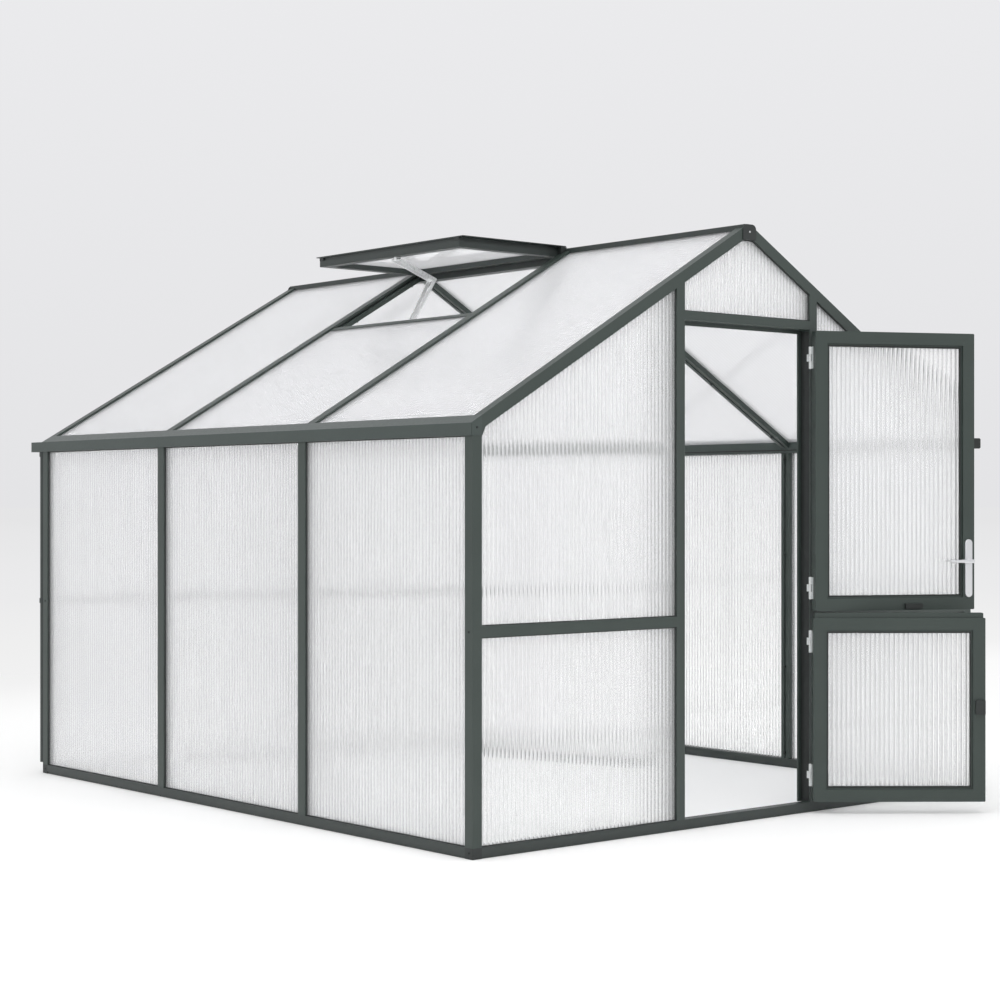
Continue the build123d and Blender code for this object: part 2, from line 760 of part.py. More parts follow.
spindle_x = leaf_left + plate_inset
spindle_bore = Pos(spindle_x, (leaf_outer + leaf_inner) / 2, lever_height) * Rotation(90, 0, 0) * Cylinder(
    spindle_radius + spindle_clearance, 3 * leaf_thickness
)
upper_frame = leaf_frame(upper_bottom, upper_top) - spindle_bore
lower_frame = leaf_frame(lower_bottom, leaf_split)
upstand_middle = (leaf_outer + leaf_inner) / 2
upstand = block(
    leaf_left + upstand_inset, leaf_right - upstand_inset, upstand_middle - upstand_thickness / 2,
    upstand_middle + upstand_thickness / 2, leaf_split - leaf_round, leaf_split + upstand_height,
)
upstand_corners = [e for e in upstand.edges().filter_by(Axis.Y) if e.center().Z > leaf_split]
lower_frame += fillet(upstand_corners, leaf_round)
write("upper_door_frame", swung(upper_frame, upper_leaf_angle))
write("upper_door_glazing", swung(leaf_sheet(upper_bottom, upper_top), upper_leaf_angle))
write("lower_door_frame", swung(lower_frame, lower_leaf_angle))
write("lower_door_glazing", swung(leaf_sheet(lower_bottom, leaf_split), lower_leaf_angle))

# Butt hinges: the middle knuckle and its plate on the jamb, the outer two on the leaf
knuckle_height = hinge_height / 3


def knuckle(z0, z1):
    """One barrel of a hinge on the hinge line."""
    return Pos(hinge_x, hinge_y, (z0 + z1) / 2) * Cylinder(knuckle_radius, z1 - z0)


def jamb_hinge(z):
    """The jamb's half with the pin, for a hinge whose middle is at z."""
    half = knuckle_height / 2 - knuckle_gap / 2
    piece = knuckle(z - half, z + half)
    piece += block(door_half - hinge_plate, door_half, hinge_y, hinge_y + hinge_reach, z - half, z + half)
    piece += Pos(hinge_x, hinge_y, z) * Cylinder(hinge_pin_radius, hinge_height)
    return piece


def leaf_hinge(z):
    """The leaf's half: two barrels joined by the plate on the leaf's edge."""
    half = hinge_height / 2
    inner = knuckle_height / 2 + knuckle_gap / 2
    piece = None
    for z0, z1 in ((z - half, z - inner), (z + inner, z + half)):
        side = knuckle(z0, z1)
        side += block(leaf_right, leaf_right + hinge_plate, hinge_y, hinge_y + hinge_reach, z0, z1)
        piece = side if piece is None else piece + side
    piece += block(
        leaf_right, leaf_right + hinge_plate, y_front + knuckle_radius, hinge_y + hinge_reach, z - half, z + half
    )
    return piece - Pos(hinge_x, hinge_y, z) * Cylinder(hinge_pin_radius + hinge_pin_clearance, 2 * hinge_height)


write("jamb_hinges", *[jamb_hinge(z) for z in (*lower_hinge_heights, *upper_hinge_heights)])
write("upper_door_hinges", *[swung(leaf_hinge(z), upper_leaf_angle) for z in upper_hinge_heights])
write("lower_door_hinges", *[swung(leaf_hinge(z), lower_leaf_angle) for z in lower_hinge_heights])

# Lever handle: a plate on each face, and the levers on one spindle


def handle_plate(y0, y1):
    """Long plate with round ends."""
    plane = Plane(origin=(spindle_x, y0, plate_middle), x_dir=(1, 0, 0), z_dir=(0, -1, 0))
    outline = SlotOverall(plate_height, plate_width, rotation=90)
    return extrude(plane * outline, amount=-(y1 - y0)) - spindle_bore


plate_faces = [
    handle_plate(leaf_outer - plate_thickness, leaf_outer),
    handle_plate(leaf_inner, leaf_inner + plate_thickness),
]
write("door_handle_plates", *[swung(p, upper_leaf_angle) for p in plate_faces])
lever_outer = leaf_outer - lever_standoff
lever_inner = leaf_inner + lever_standoff
levers = Pos(spindle_x, (lever_outer + lever_inner) / 2, lever_height) * Rotation(90, 0, 0) * Cylinder(
    spindle_radius, lever_inner - lever_outer
)
for y in (lever_outer + lever_thickness / 2, lever_inner - lever_thickness / 2):
    grip_middle = leaf_left + lever_edge + lever_length / 2
    bar_plane = Plane(origin=(grip_middle, y, lever_height), x_dir=(1, 0, 0), z_dir=(0, -1, 0))
    grip = extrude(bar_plane * SlotOverall(lever_length, 2 * spindle_radius), amount=lever_thickness / 2, both=True)
    levers += fillet(grip.faces().filter_by(Axis.Y).edges(), lever_round)
write("door_levers", swung(levers, upper_leaf_angle))

# Catches: one over the jamb, one button between the leaves, one on the lower leaf
side_catch = block(
    leaf_left - side_catch_reach, leaf_left + plate_width, leaf_outer - side_catch_clearance - side_catch_plate,
    leaf_outer - side_catch_clearance, side_catch_height - side_catch_size / 2,
    side_catch_height + side_catch_size / 2,
)
catch_ends = [e for e in side_catch.edges().filter_by(Axis.Y) if e.center().X < leaf_left]
side_catch = fillet(catch_ends, side_catch_round)
side_catch += block(
    leaf_left + section_wall, leaf_left + plate_width, leaf_outer - side_catch_clearance, leaf_outer,
    side_catch_height - side_catch_size / 2, side_catch_height + side_catch_size / 2,
)
button = block(
    leaf_left + button_inset - button_length / 2, leaf_left + button_inset + button_length / 2, leaf_inner,
    leaf_inner + button_thickness, button_middle - button_height / 2, button_middle + button_height / 2,
)
write("upper_door_catches", *[swung(p, upper_leaf_angle) for p in (side_catch, button)])
lower_catch = block(
    leaf_left + section_wall, leaf_left + section_wall + lower_catch_width, leaf_inner,
    leaf_inner + lower_catch_thickness, lower_catch_middle - lower_catch_height / 2,
    lower_catch_middle + lower_catch_height / 2,
)
write("lower_door_catch", swung(lower_catch, lower_leaf_angle))
print(len(pieces), "pieces written")
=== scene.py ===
import bpy
import bmesh
import json
import numpy as np
from math import radians, pi
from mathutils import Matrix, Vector


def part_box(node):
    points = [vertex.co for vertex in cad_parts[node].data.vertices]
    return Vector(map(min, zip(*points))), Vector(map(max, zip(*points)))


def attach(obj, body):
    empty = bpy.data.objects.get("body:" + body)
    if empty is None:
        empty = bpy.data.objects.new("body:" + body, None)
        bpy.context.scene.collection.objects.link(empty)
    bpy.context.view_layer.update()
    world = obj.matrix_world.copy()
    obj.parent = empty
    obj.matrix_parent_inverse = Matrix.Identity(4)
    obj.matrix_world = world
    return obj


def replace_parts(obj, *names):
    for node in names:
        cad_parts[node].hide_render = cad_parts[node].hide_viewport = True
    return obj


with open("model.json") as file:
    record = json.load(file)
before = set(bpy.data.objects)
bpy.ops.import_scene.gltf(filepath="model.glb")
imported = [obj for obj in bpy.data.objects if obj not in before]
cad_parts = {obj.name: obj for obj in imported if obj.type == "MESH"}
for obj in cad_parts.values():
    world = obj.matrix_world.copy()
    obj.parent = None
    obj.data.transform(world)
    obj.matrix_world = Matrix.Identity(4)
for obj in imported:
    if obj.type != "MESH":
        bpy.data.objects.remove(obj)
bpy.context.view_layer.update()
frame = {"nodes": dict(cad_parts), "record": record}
nodes = frame["nodes"]
scene = bpy.context.scene
print("frame loaded:", len(nodes), "nodes")

# main sizes of the house in metres, the same as the frame's
house = {
    "halfWidth": 1.250, "frontY": -0.019, "backY": 2.751, "postFace": 0.038, "depth": 0.038,
    "baseTop": 0.035, "wallTop": 1.317, "midLow": 0.688, "midHigh": 0.724,
    "eavesX": 1.255, "eavesZ": 1.357, "gutterInner": 1.211, "pitch": 30.0,
    "barLines": (-0.019 + 2.770 / 3, -0.019 + 2 * 2.770 / 3), "barFace": 0.042,
    "doorHalf": 0.317, "jambOuter": 0.355, "lintelTop": 1.759, "ridgeHalf": 0.025,
    "sillFoot": 0.480,  # distance from the ridge at which the vent's sill takes the sheet below it
    "lip": 0.0082,  # from the outside of the frame back to the sheets
    "sheet": 0.010,
    "hold": 0.011,  # how far the sheets reach into their channels
    "hingeX": 0.312, "hingeY": -0.025, "upperAngle": 153.4, "lowerAngle": 140.3,
}
slopeRise = np.tan(radians(house["pitch"]))
uprightRatio = 1 / np.cos(radians(house["pitch"]))


# height of the roof's outer plane at x: the eaves height plus the distance in from the eaves times the rise
def roofZ(x):
    return house["eavesZ"] + (house["eavesX"] - np.abs(x)) * slopeRise


# colour and nodes

# an sRGB hex colour as linear red, green, blue and alpha
def linear(hexText):
    parts = np.array([int(hexText[i:i + 2], 16) for i in (1, 3, 5)]) / 255
    low = parts / 12.92
    high = ((parts + 0.055) / 1.055) ** 2.4
    return (*np.where(parts <= 0.04045, low, high).tolist(), 1.0)


# adds one node: words set its settings, inputs are values or the sockets to link from, and stops are the places
# and hex shades of a colour ramp
def addNode(tree, kind, inputs=None, stops=(), **settings):
    node = tree.nodes.new(kind)
    for key, value in settings.items():
        setattr(node, key, value)
    for key, value in (inputs or {}).items():
        if isinstance(value, bpy.types.NodeSocket):
            tree.links.new(value, node.inputs[key])
        else:
            node.inputs[key].default_value = value
    for position, shade in stops[1:-1]:
        node.color_ramp.elements.new(position)
    if stops:
        for stop, (position, shade) in zip(node.color_ramp.elements, stops):
            stop.position, stop.color = position, linear(shade)
    return node


def newMaterial(name):
    material = bpy.data.materials.new(name)
    material.use_nodes = True
    tree = material.node_tree
    tree.nodes.clear()
    output = addNode(tree, "ShaderNodeOutputMaterial")
    place = addNode(tree, "ShaderNodeTexCoord").outputs["Object"]
    return material, tree, output, place


# scale of a noise whose grains are the given number of millimetres across
def grainScale(millimetres):
    return 1000 / millimetres


# nearly all of a noise lies in these bands, the first for colours and the second for roughness
cloudLow, cloudHigh = 0.35, 0.65
speckBand = {"From Min": 0.3, "From Max": 0.7}


# powder-coated aluminium: baked polyester paint, which leaves a satin skin with a faint orange peel
def powderCoat(name, shade, lightShade, rough):
    material, tree, output, place = newMaterial(name)
    cloud = addNode(tree, "ShaderNodeTexNoise", {"Vector": place, "Scale": grainScale(180), "Detail": 3.0})
    peel = addNode(tree, "ShaderNodeTexNoise", {"Vector": place, "Scale": grainScale(2.2), "Detail": 1.0})
    speck = addNode(tree, "ShaderNodeTexNoise", {"Vector": place, "Scale": grainScale(9), "Detail": 3.0})
    paint = addNode(tree, "ShaderNodeValToRGB", {"Fac": cloud.outputs["Fac"]},
                    ((cloudLow, shade), (cloudHigh, lightShade)))
    gloss = addNode(tree, "ShaderNodeMapRange", {
        "Value": speck.outputs["Fac"], **speckBand, "To Min": rough - 0.03, "To Max": rough + 0.04})
    bump = addNode(tree, "ShaderNodeBump", {"Height": peel.outputs["Fac"], "Strength": 0.25, "Distance": 0.00012})
    shader = addNode(tree, "ShaderNodeBsdfPrincipled", {
        "Base Color": paint.outputs["Color"], "Roughness": gloss.outputs["Result"],
        "Normal": bump.outputs["Normal"], "IOR": 1.5})
    tree.links.new(shader.outputs["BSDF"], output.inputs["Surface"])
    return material


# the sheets' looks: haze is the share of light that a flute scatters, and ribHaze the share at a rib; back and rib
# are the colours that they send back, and through is the colour that they let through. The three looks are copies
# of one sheet, set apart for how the light falls on the front and doors, the side walls and the roof; the roof's
# greyer back and rib are painted shade on its up-facing sheets under the overhead lamp
sheetLooks = {
    "twinWallPolycarbonateSheet": {
        "haze": 0.17, "ribHaze": 0.42, "back": "#ffffff", "rib": "#cbcccd", "through": "#fbfbfc"},
    "twinWallPolycarbonateWallSheet": {
        "haze": 0.20, "ribHaze": 0.45, "back": "#fafafb", "rib": "#dcdcdd", "through": "#f8f8f9"},
    "twinWallPolycarbonateShadedRoofSheet": {
        "haze": 0.36, "ribHaze": 0.38, "back": "#e2e2e4", "rib": "#dedee0", "through": "#f4f4f5"},
}
# where a rib's haze sets in and is full, on a flute's wave from 0 at the crown to 1 in the valley
ribLow, ribHigh = 0.55, 0.95


# twin-wall polycarbonate: extruded clear sheet whose flutes bend the view sideways and whose haze glows in light
def twinWallPolycarbonate(name):
    look = sheetLooks[name]
    material, tree, output, place = newMaterial(name)
    film = addNode(tree, "ShaderNodeTexNoise", {"Vector": place, "Scale": grainScale(60), "Detail": 2.0})
    polish = addNode(tree, "ShaderNodeMapRange", {
        "Value": film.outputs["Fac"], **speckBand, "To Min": 0.01, "To Max": 0.03})
    clearSheet = addNode(tree, "ShaderNodeBsdfPrincipled", {
        "Base Color": linear("#fefefe"), "Transmission Weight": 1.0, "IOR": 1.5,
        "Roughness": polish.outputs["Result"]})
    rib = addNode(tree, "ShaderNodeAttribute", attribute_name="rib")
    ribShade = addNode(tree, "ShaderNodeValToRGB", {"Fac": rib.outputs["Fac"]},
                       ((ribLow, look["back"]), (ribHigh, look["rib"])))
    hazeBack = addNode(tree, "ShaderNodeBsdfDiffuse", {"Color": ribShade.outputs["Color"]})
    hazeThrough = addNode(tree, "ShaderNodeBsdfTranslucent", {"Color": linear(look["through"])})
    haze = addNode(tree, "ShaderNodeMixShader", {
        0: 0.5, 1: hazeBack.outputs["BSDF"], 2: hazeThrough.outputs["BSDF"]})
    share = addNode(tree, "ShaderNodeMapRange", {
        "Value": rib.outputs["Fac"], "From Min": ribLow, "From Max": ribHigh,
        "To Min": look["haze"], "To Max": look["ribHaze"]})
    sheet = addNode(tree, "ShaderNodeMixShader", {
        0: share.outputs["Result"], 1: clearSheet.outputs["BSDF"], 2: haze.outputs["Shader"]})
    lampLight = addNode(tree, "ShaderNodeBsdfTransparent", {"Color": linear("#f9fafa")})
    path = addNode(tree, "ShaderNodeLightPath")
    mix = addNode(tree, "ShaderNodeMixShader", {
        0: path.outputs["Is Shadow Ray"], 1: sheet.outputs["Shader"], 2: lampLight.outputs["BSDF"]})
    tree.links.new(mix.outputs["Shader"], output.inputs["Surface"])
    return material


# satin anodised aluminium: brushed before anodising, so its highlight is soft and slightly streaked; the brush
# lines are drawn 0.8 mm wide, coarser than real ones, to show
def satinAluminium(name, shade, rough):
    material, tree, output, place = newMaterial(name)
    stretched = addNode(tree, "ShaderNodeMapping", {"Vector": place, "Scale": (1.0, 1.0, 0.06)})
    streak = addNode(tree, "ShaderNodeTexNoise", {
        "Vector": stretched.outputs["Vector"], "Scale": grainScale(0.8), "Detail": 2.0})
    gloss = addNode(tree, "ShaderNodeMapRange", {
        "Value": streak.outputs["Fac"], **speckBand, "To Min": rough - 0.04, "To Max": rough + 0.06})
    bump = addNode(tree, "ShaderNodeBump", {
        "Height": streak.outputs["Fac"], "Strength": 0.15, "Distance": 0.00005})
    shader = addNode(tree, "ShaderNodeBsdfPrincipled", {
        "Base Color": linear(shade), "Metallic": 1.0, "Roughness": gloss.outputs["Result"],
        "Normal": bump.outputs["Normal"]})
    tree.links.new(shader.outputs["BSDF"], output.inputs["Surface"])
    return material


# zinc-plated steel: bright passivated plating with small grey clouds
def zincPlatedSteel(name):
    material, tree, output, place = newMaterial(name)
    cloud = addNode(tree, "ShaderNodeTexNoise", {"Vector": place, "Scale": grainScale(6), "Detail": 3.0})
    plating = addNode(tree, "ShaderNodeValToRGB", {"Fac": cloud.outputs["Fac"]},
                      ((cloudLow, "#d3d6d5"), (cloudHigh, "#e6e8e8")))
    gloss = addNode(tree, "ShaderNodeMapRange", {
        "Value": cloud.outputs["Fac"], **speckBand, "To Min": 0.28, "To Max": 0.42})
    shader = addNode(tree, "ShaderNodeBsdfPrincipled", {
        "Base Color": plating.outputs["Color"], "Metallic": 1.0, "Roughness": gloss.outputs["Result"]})
    tree.links.new(shader.outputs["BSDF"], output.inputs["Surface"])
    return material


# moulded nylon: spark-eroded texture with a soft sheen; its grain is drawn 0.9 mm wide, coarser than a real one,
# to show
def mouldedNylon(name, shade, lightShade, rough):
    material, tree, output, place = newMaterial(name)
    grain = addNode(tree, "ShaderNodeTexNoise", {"Vector": place, "Scale": grainScale(0.9), "Detail": 2.0})
    cloud = addNode(tree, "ShaderNodeTexNoise", {"Vector": place, "Scale": grainScale(45), "Detail": 2.0})
    skin = addNode(tree, "ShaderNodeValToRGB", {"Fac": cloud.outputs["Fac"]},
                   ((cloudLow, shade), (cloudHigh, lightShade)))
    bump = addNode(tree, "ShaderNodeBump", {"Height": grain.outputs["Fac"], "Strength": 0.3, "Distance": 0.00006})
    shader = addNode(tree, "ShaderNodeBsdfPrincipled", {
        "Base Color": skin.outputs["Color"], "Roughness": rough, "Normal": bump.outputs["Normal"], "IOR": 1.5})
    tree.links.new(shader.outputs["BSDF"], output.inputs["Surface"])
    return material


materials = {
    "green_coated_aluminium": powderCoat("powderCoatedGreenFrame", "#323c38", "#353f3b", 0.42),
    "dark_coated_aluminium": powderCoat("powderCoatedDarkBase", "#2d3432", "#303735", 0.42),
    "grey_coated_aluminium": powderCoat("powderCoatedGutter", "#37413e", "#3a4441", 0.38),
    "twin_wall_polycarbonate": twinWallPolycarbonate("twinWallPolycarbonateSheet"),
    "satin_aluminium": satinAluminium("satinAnodisedAluminium", "#dcdddf", 0.36),
    "zinc_plated_steel": zincPlatedSteel("zincPlatedHingeSteel"),
    "black_plastic": mouldedNylon("mouldedBlackNylon", "#202423", "#252a29", 0.5),
    "downpipe_plastic": mouldedNylon("extrudedDownpipePvc", "#2f3534", "#343a39", 0.4),
}
wallSheet = twinWallPolycarbonate("twinWallPolycarbonateWallSheet")
# the roof's copy of the sheet, greyed with painted shade
shadedRoofSheet = twinWallPolycarbonate("twinWallPolycarbonateShadedRoofSheet")
rubber = mouldedNylon("extrudedEpdmRubber", "#1c201f", "#202423", 0.65)
lighterStayCopy = satinAluminium("lighterSatinAluminiumForStay", "#f1f2f2", 0.30)
special = {"vent_opener": lighterStayCopy}  # the stay gets a lighter, glossier copy of the satin aluminium
for entry in frame["record"]["subparts"]:
    slots = nodes[entry["node"]].data.materials
    slots.clear()
    slots.append(special.get(entry["node"], materials[entry["material_slot"]]))
print("materials on the frame:", len(materials))


# meshes from arrays

# quads of a grid of rows and columns, closed round either way where asked
def gridFaces(rows, cols, wrapRows=False, wrapCols=False):
    r, c = np.meshgrid(np.arange(rows if wrapRows else rows - 1), np.arange(cols if wrapCols else cols - 1),
                       indexing="ij")
    nextR, nextC = (r + 1) % rows, (c + 1) % cols
    return np.stack([r * cols + c, r * cols + nextC, nextR * cols + nextC, nextR * cols + c], -1).reshape(-1, 4)


# faces of a closed tube of rings, each with the same count of points, and its two flat ends
def cappedFaces(rings, count):
    last = count * (rings - 1)
    return gridFaces(rings, count, wrapCols=True).tolist() + [list(range(count)), list(range(last, last + count))]


# joins several (points, faces, ...) shapes into one
def joined(shapes):
    faces, start = [], 0
    for shape in shapes:
        faces += [[index + start for index in face] for face in shape[1]]
        start += len(shape[0])
    return (np.concatenate([shape[0] for shape in shapes]), faces,
            *(np.concatenate(extra) for extra in zip(*(shape[2:] for shape in shapes))))


# puts a shape into an object that rides on a body; sharp is the angle past which an edge stays sharp
def makePiece(name, shape, body, slot, sharp=35, material=None):
    points, faces = shape[0], shape[1]
    rib = shape[2] if len(shape) > 2 else None
    mesh = bpy.data.meshes.new(name)
    mesh.from_pydata(points.tolist(), [], [list(face) for face in faces])
    work = bmesh.new()
    work.from_mesh(mesh)
    bmesh.ops.remove_doubles(work, verts=work.verts, dist=1e-6)
    bmesh.ops.recalc_face_normals(work, faces=work.faces)
    work.to_mesh(mesh)
    work.free()
    if rib is not None:
        mesh.attributes.new("rib", "FLOAT", "POINT").data.foreach_set("value", rib)
    mesh.shade_smooth()
    mesh.set_sharp_from_angle(angle=radians(sharp))
    mesh.materials.append(material or materials[slot])
    piece = bpy.data.objects.new(name, mesh)
    scene.collection.objects.link(piece)
    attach(piece, body)
    return piece


# closed-leaf points turned open about the hinge line: x and y rotate by the leaf's angle
def swung(points, angle):
    c, s = np.cos(radians(angle)), np.sin(radians(angle))
    x, y = points[:, 0] - house["hingeX"], points[:, 1] - house["hingeY"]
    return np.stack([house["hingeX"] + x * c - y * s, house["hingeY"] + x * s + y * c, points[:, 2]], -1)


def swungShape(shape, angle):
    return (swung(shape[0], angle), *shape[1:])


# outline carried straight: point (u, v) is origin + u * across + v * up, repeated at the run's far end
def carried(outline, origin, across, up, run):
    origin, across, up, run = (np.array(v, float) for v in (origin, across, up, run))
    base = origin + outline[:, :1] * across + outline[:, 1:2] * up
    return np.concatenate([base, base + run]), cappedFaces(2, len(outline))


# rectangle with round corners, as (u, v) points round its middle
def roundRect(width, height, radius, steps=3):
    angles = np.linspace(0, pi / 2, steps + 1)
    quarter = np.stack([np.cos(angles), np.sin(angles)], -1) * radius
    turns = np.arange(4) * pi / 2
    centres = np.array([[1, 1], [-1, 1], [-1, -1], [1, -1]]) * [width / 2 - radius, height / 2 - radius]
    spun = np.stack([
        quarter[None, :, 0] * np.cos(turns)[:, None] - quarter[None, :, 1] * np.sin(turns)[:, None],
        quarter[None, :, 0] * np.sin(turns)[:, None] + quarter[None, :, 1] * np.cos(turns)[:, None]], -1)
    return (spun + centres[:, None, :]).reshape(-1, 2)


# outline (radius, height) turned about an axis: at angle a it is centre + radius * (cos a, sin a) + height * axis
def turned(outline, centre, axis, steps=16):
    axis = np.array(axis, float) / np.linalg.norm(axis)
    side = np.cross(axis, [0, 0, 1.0] if abs(axis[2]) < 0.9 else [1.0, 0, 0])
    side /= np.linalg.norm(side)
    other = np.cross(axis, side)
    outline = np.array(outline, float)
    angles = np.linspace(0, 2 * pi, steps, endpoint=False)
    ring = np.cos(angles)[:, None] * side + np.sin(angles)[:, None] * other
    points = np.array(centre) + outline[:, None, :1] * ring[None] + outline[:, None, 1:2] * axis
    return points.reshape(-1, 3), gridFaces(len(outline), steps, wrapCols=True).tolist()


# cross-section (a, b) carried round a closed flat path: a runs inwards from the path and b along its normal,
# mitred at the corners
def loopAlong(path, normal, section):
    path, normal, section = np.array(path, float), np.array(normal, float), np.array(section, float)
    forward = np.roll(path, -1, 0) - path
    forward /= np.linalg.norm(forward, axis=1)[:, None]
    inward = np.cross(normal, forward)
    before = np.roll(inward, 1, 0)
    mitre = (inward + before) / (1 + (inward * before).sum(1))[:, None]
    points = path[:, None] + section[None, :, :1] * mitre[:, None] + section[None, :, 1:2] * normal
    return points.reshape(-1, 3), gridFaces(len(path), len(section), wrapRows=True, wrapCols=True).tolist()


# glazing: fluted sheets in place of the frame's plain ones

fluting = {
    "pitch": 0.0169,  # one flute each 16.9 mm, the spacing of the sheet's ribs
    "rise": 0.0040,  # how far a flute's crown stands above its valleys
    "steps": 12,  # columns of points across one flute
}


# closed sheet: the outer face at column u is -rise / 2 * (1 - cos(2 pi u / pitch)) behind the crowns, the inner
# face is the same wave with its own rise, or plane, and each column runs from lowEdge(u) to highEdge(u); the third
# array is the wave from 0 at a crown to 1 in a valley, where the ribs stand
def flutedSheet(origin, across, along, outward, u0, u1, lowEdge, highEdge, innerRise=0.0):
    flutes = max(1, round((u1 - u0) / fluting["pitch"]))
    u = np.linspace(u0, u1, flutes * fluting["steps"] + 1)
    wave = (1 - np.cos(2 * pi * flutes * (u - u0) / (u1 - u0))) / 2
    outer, inner = -fluting["rise"] * wave, -house["sheet"] + innerRise * wave
    ringU = np.concatenate([u, u[::-1]])
    ringW = np.concatenate([outer, inner[::-1]])
    low, high = np.interp(ringU, *lowEdge), np.interp(ringU, *highEdge)
    origin, across, along, outward = (np.array(v, float) for v in (origin, across, along, outward))
    flat = origin + ringU[:, None] * across + ringW[:, None] * outward
    points = np.concatenate([flat + low[:, None] * along, flat + high[:, None] * along])
    count, half = len(ringU), len(u)
    faces = gridFaces(2, count, wrapCols=True)
    k = np.arange(half - 1)
    cap = np.stack([k, k + 1, count - 2 - k, count - 1 - k], -1)
    rib = np.tile(np.concatenate([wave, wave[::-1]]), 2)
    return points, np.concatenate([faces, cap, cap + count]).tolist(), rib


def level(value):
    return [0.0], [value]


hold, ridgeHalf, doorHalf = house["hold"], house["ridgeHalf"], house["doorHalf"]
rafterUnder = house["depth"] * uprightRatio
lowX, highX = house["halfWidth"] - house["postFace"] + hold, house["jambOuter"] - hold
backInner = house["jambOuter"] - house["barFace"] + hold
gable = {
    "stepOut": 1.214, "stepIn": 1.204, "stepTop": 1.352,  # the sheet's corner steps round the gutter's end
    "flatHalf": 0.03, "flatTop": 2.034,  # the sheets under the ridge are cut level there
    "doorDrop": 0.036, "backDrop": 0.032,  # from the roof's plane down to the sheets under the rafters
}


# upper edge of a sheet under the ridge, from its height at both sides to its level top
def ridgeEdge(half, side):
    return [-half, -gable["flatHalf"], gable["flatHalf"], half], [side, gable["flatTop"], gable["flatTop"], side]


gableOutlines = {
    "low": (-lowX, -highX, level(house["baseTop"] - hold), level(house["midLow"] + hold)),
    "high": (-lowX, -highX, level(house["midHigh"] - hold), (
        [-lowX, -gable["stepOut"], -gable["stepIn"], -highX],
        [house["wallTop"] + hold, house["wallTop"] + hold, gable["stepTop"],
         roofZ(highX) - rafterUnder + hold * uprightRatio])),
    "top": (-doorHalf - hold, doorHalf + hold, level(house["lintelTop"] - hold),
            ridgeEdge(doorHalf + hold, roofZ(doorHalf) - gable["doorDrop"])),
    "backLow": (-backInner, backInner, level(house["baseTop"] - hold), level(house["midLow"] + hold)),
    "backHigh": (-backInner, backInner, level(house["midHigh"] - hold),
                 ridgeEdge(backInner, roofZ(backInner) - gable["backDrop"])),
}


# a sheet of a gable; mirror flips it to the other side of the door
def gableSheet(key, mirror, y, outward):
    u0, u1, low, high = gableOutlines[key]
    return flutedSheet((0, y, 0), (-1 if mirror else 1, 0, 0), (0, 0, 1), (0, outward, 0), u0, u1, low, high)


frontSheetY = house["frontY"] + house["lip"]
backSheetY = house["backY"] - house["lip"]
sideKeys = [(key, mirror) for key in ("low", "high") for mirror in (False, True)]
frontSheets = joined([gableSheet(*key, frontSheetY, -1) for key in (*sideKeys, ("top", False))])
backSheets = joined([gableSheet(*key, backSheetY, 1)
                     for key in (*sideKeys, ("backLow", False), ("backHigh", False))])

edgeIn, halfBar = house["postFace"], house["barFace"] / 2
wallBays = [
    (house["frontY"] + edgeIn - hold, house["barLines"][0] - halfBar + hold),
    (house["barLines"][0] + halfBar - hold, house["barLines"][1] - halfBar + hold),
    (house["barLines"][1] + halfBar - hold, house["backY"] - edgeIn + hold),
]


def sideSheets(side):
    x = side * (house["halfWidth"] - house["lip"])
    low, high = level(house["baseTop"] - hold), level(house["wallTop"] + hold)
    return joined([flutedSheet((x, 0, 0), (0, 1, 0), (0, 0, 1), (side, 0, 0), y0, y1, low, high)
                   for y0, y1 in wallBays])


# the roof's sheets run up the slope from the gutter beam; side is -1 for the left slope, and tops are the
# distances from the ridge at which the sheets' upper channels begin, less topGap of play
def roofSheets(side, tops, topGap=0.006):
    pitch = radians(house["pitch"])
    outward = np.array([side * np.sin(pitch), 0, np.cos(pitch)])
    upSlope = np.array([-side * np.cos(pitch), 0, np.sin(pitch)])
    eaves = np.array([side * house["eavesX"], 0, house["eavesZ"]]) - house["lip"] * outward
    foot = (house["eavesX"] - house["gutterInner"]) * uprightRatio - hold
    return joined([flutedSheet(eaves, (0, 1, 0), upSlope, outward, y0, y1, level(foot),
                               level((house["eavesX"] - top) * uprightRatio + hold - topGap))
                   for (y0, y1), top in zip(wallBays, tops)])


leftRoofSheets = roofSheets(-1, (ridgeHalf, house["sillFoot"], ridgeHalf))
rightRoofSheets = roofSheets(1, (ridgeHalf,) * 3)
for name, shape, node, sheetMaterial in (
        ("flutedFrontSheets", frontSheets, "front_wall_glazing", None),
        ("flutedBackSheets", backSheets, "back_wall_glazing", wallSheet),
        ("flutedLeftSheets", sideSheets(-1), "left_wall_glazing", wallSheet),
        ("flutedRightSheets", sideSheets(1), "right_wall_glazing", wallSheet),
        ("flutedLeftRoofSheets", leftRoofSheets, "left_roof_glazing", shadedRoofSheet),
        ("flutedRightRoofSheets", rightRoofSheets, "right_roof_glazing", shadedRoofSheet)):
    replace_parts(makePiece(name, shape, "house", "twin_wall_polycarbonate", material=sheetMaterial), node)

ventLow, ventHigh = (np.array(corner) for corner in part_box("vent_glazing"))
ventSheet = flutedSheet((0, 0, ventHigh[2]), (0, 1, 0), (1, 0, 0), (0, 0, 1), ventLow[1], ventHigh[1],
                        level(ventLow[0]), level(ventHigh[0]))
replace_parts(makePiece("flutedVentSheet", ventSheet, "house", "twin_wall_polycarbonate", material=shadedRoofSheet),
            "vent_glazing")

# the door's leaves as they are when closed; upper and lower are each leaf's lowest and highest point
leaf = {
    "edge": 0.307, "outer": -0.019, "inner": 0.017, "upper": (0.722, 1.721), "lower": (0.043, 0.698),
    "clear": 0.054, "bead": 0.008,  # from the leaf's edge to the clear sheet, and the glazing bead's set-back
    "sheetInset": 0.042, "middleY": -0.001, "innerRise": 0.0025,
}


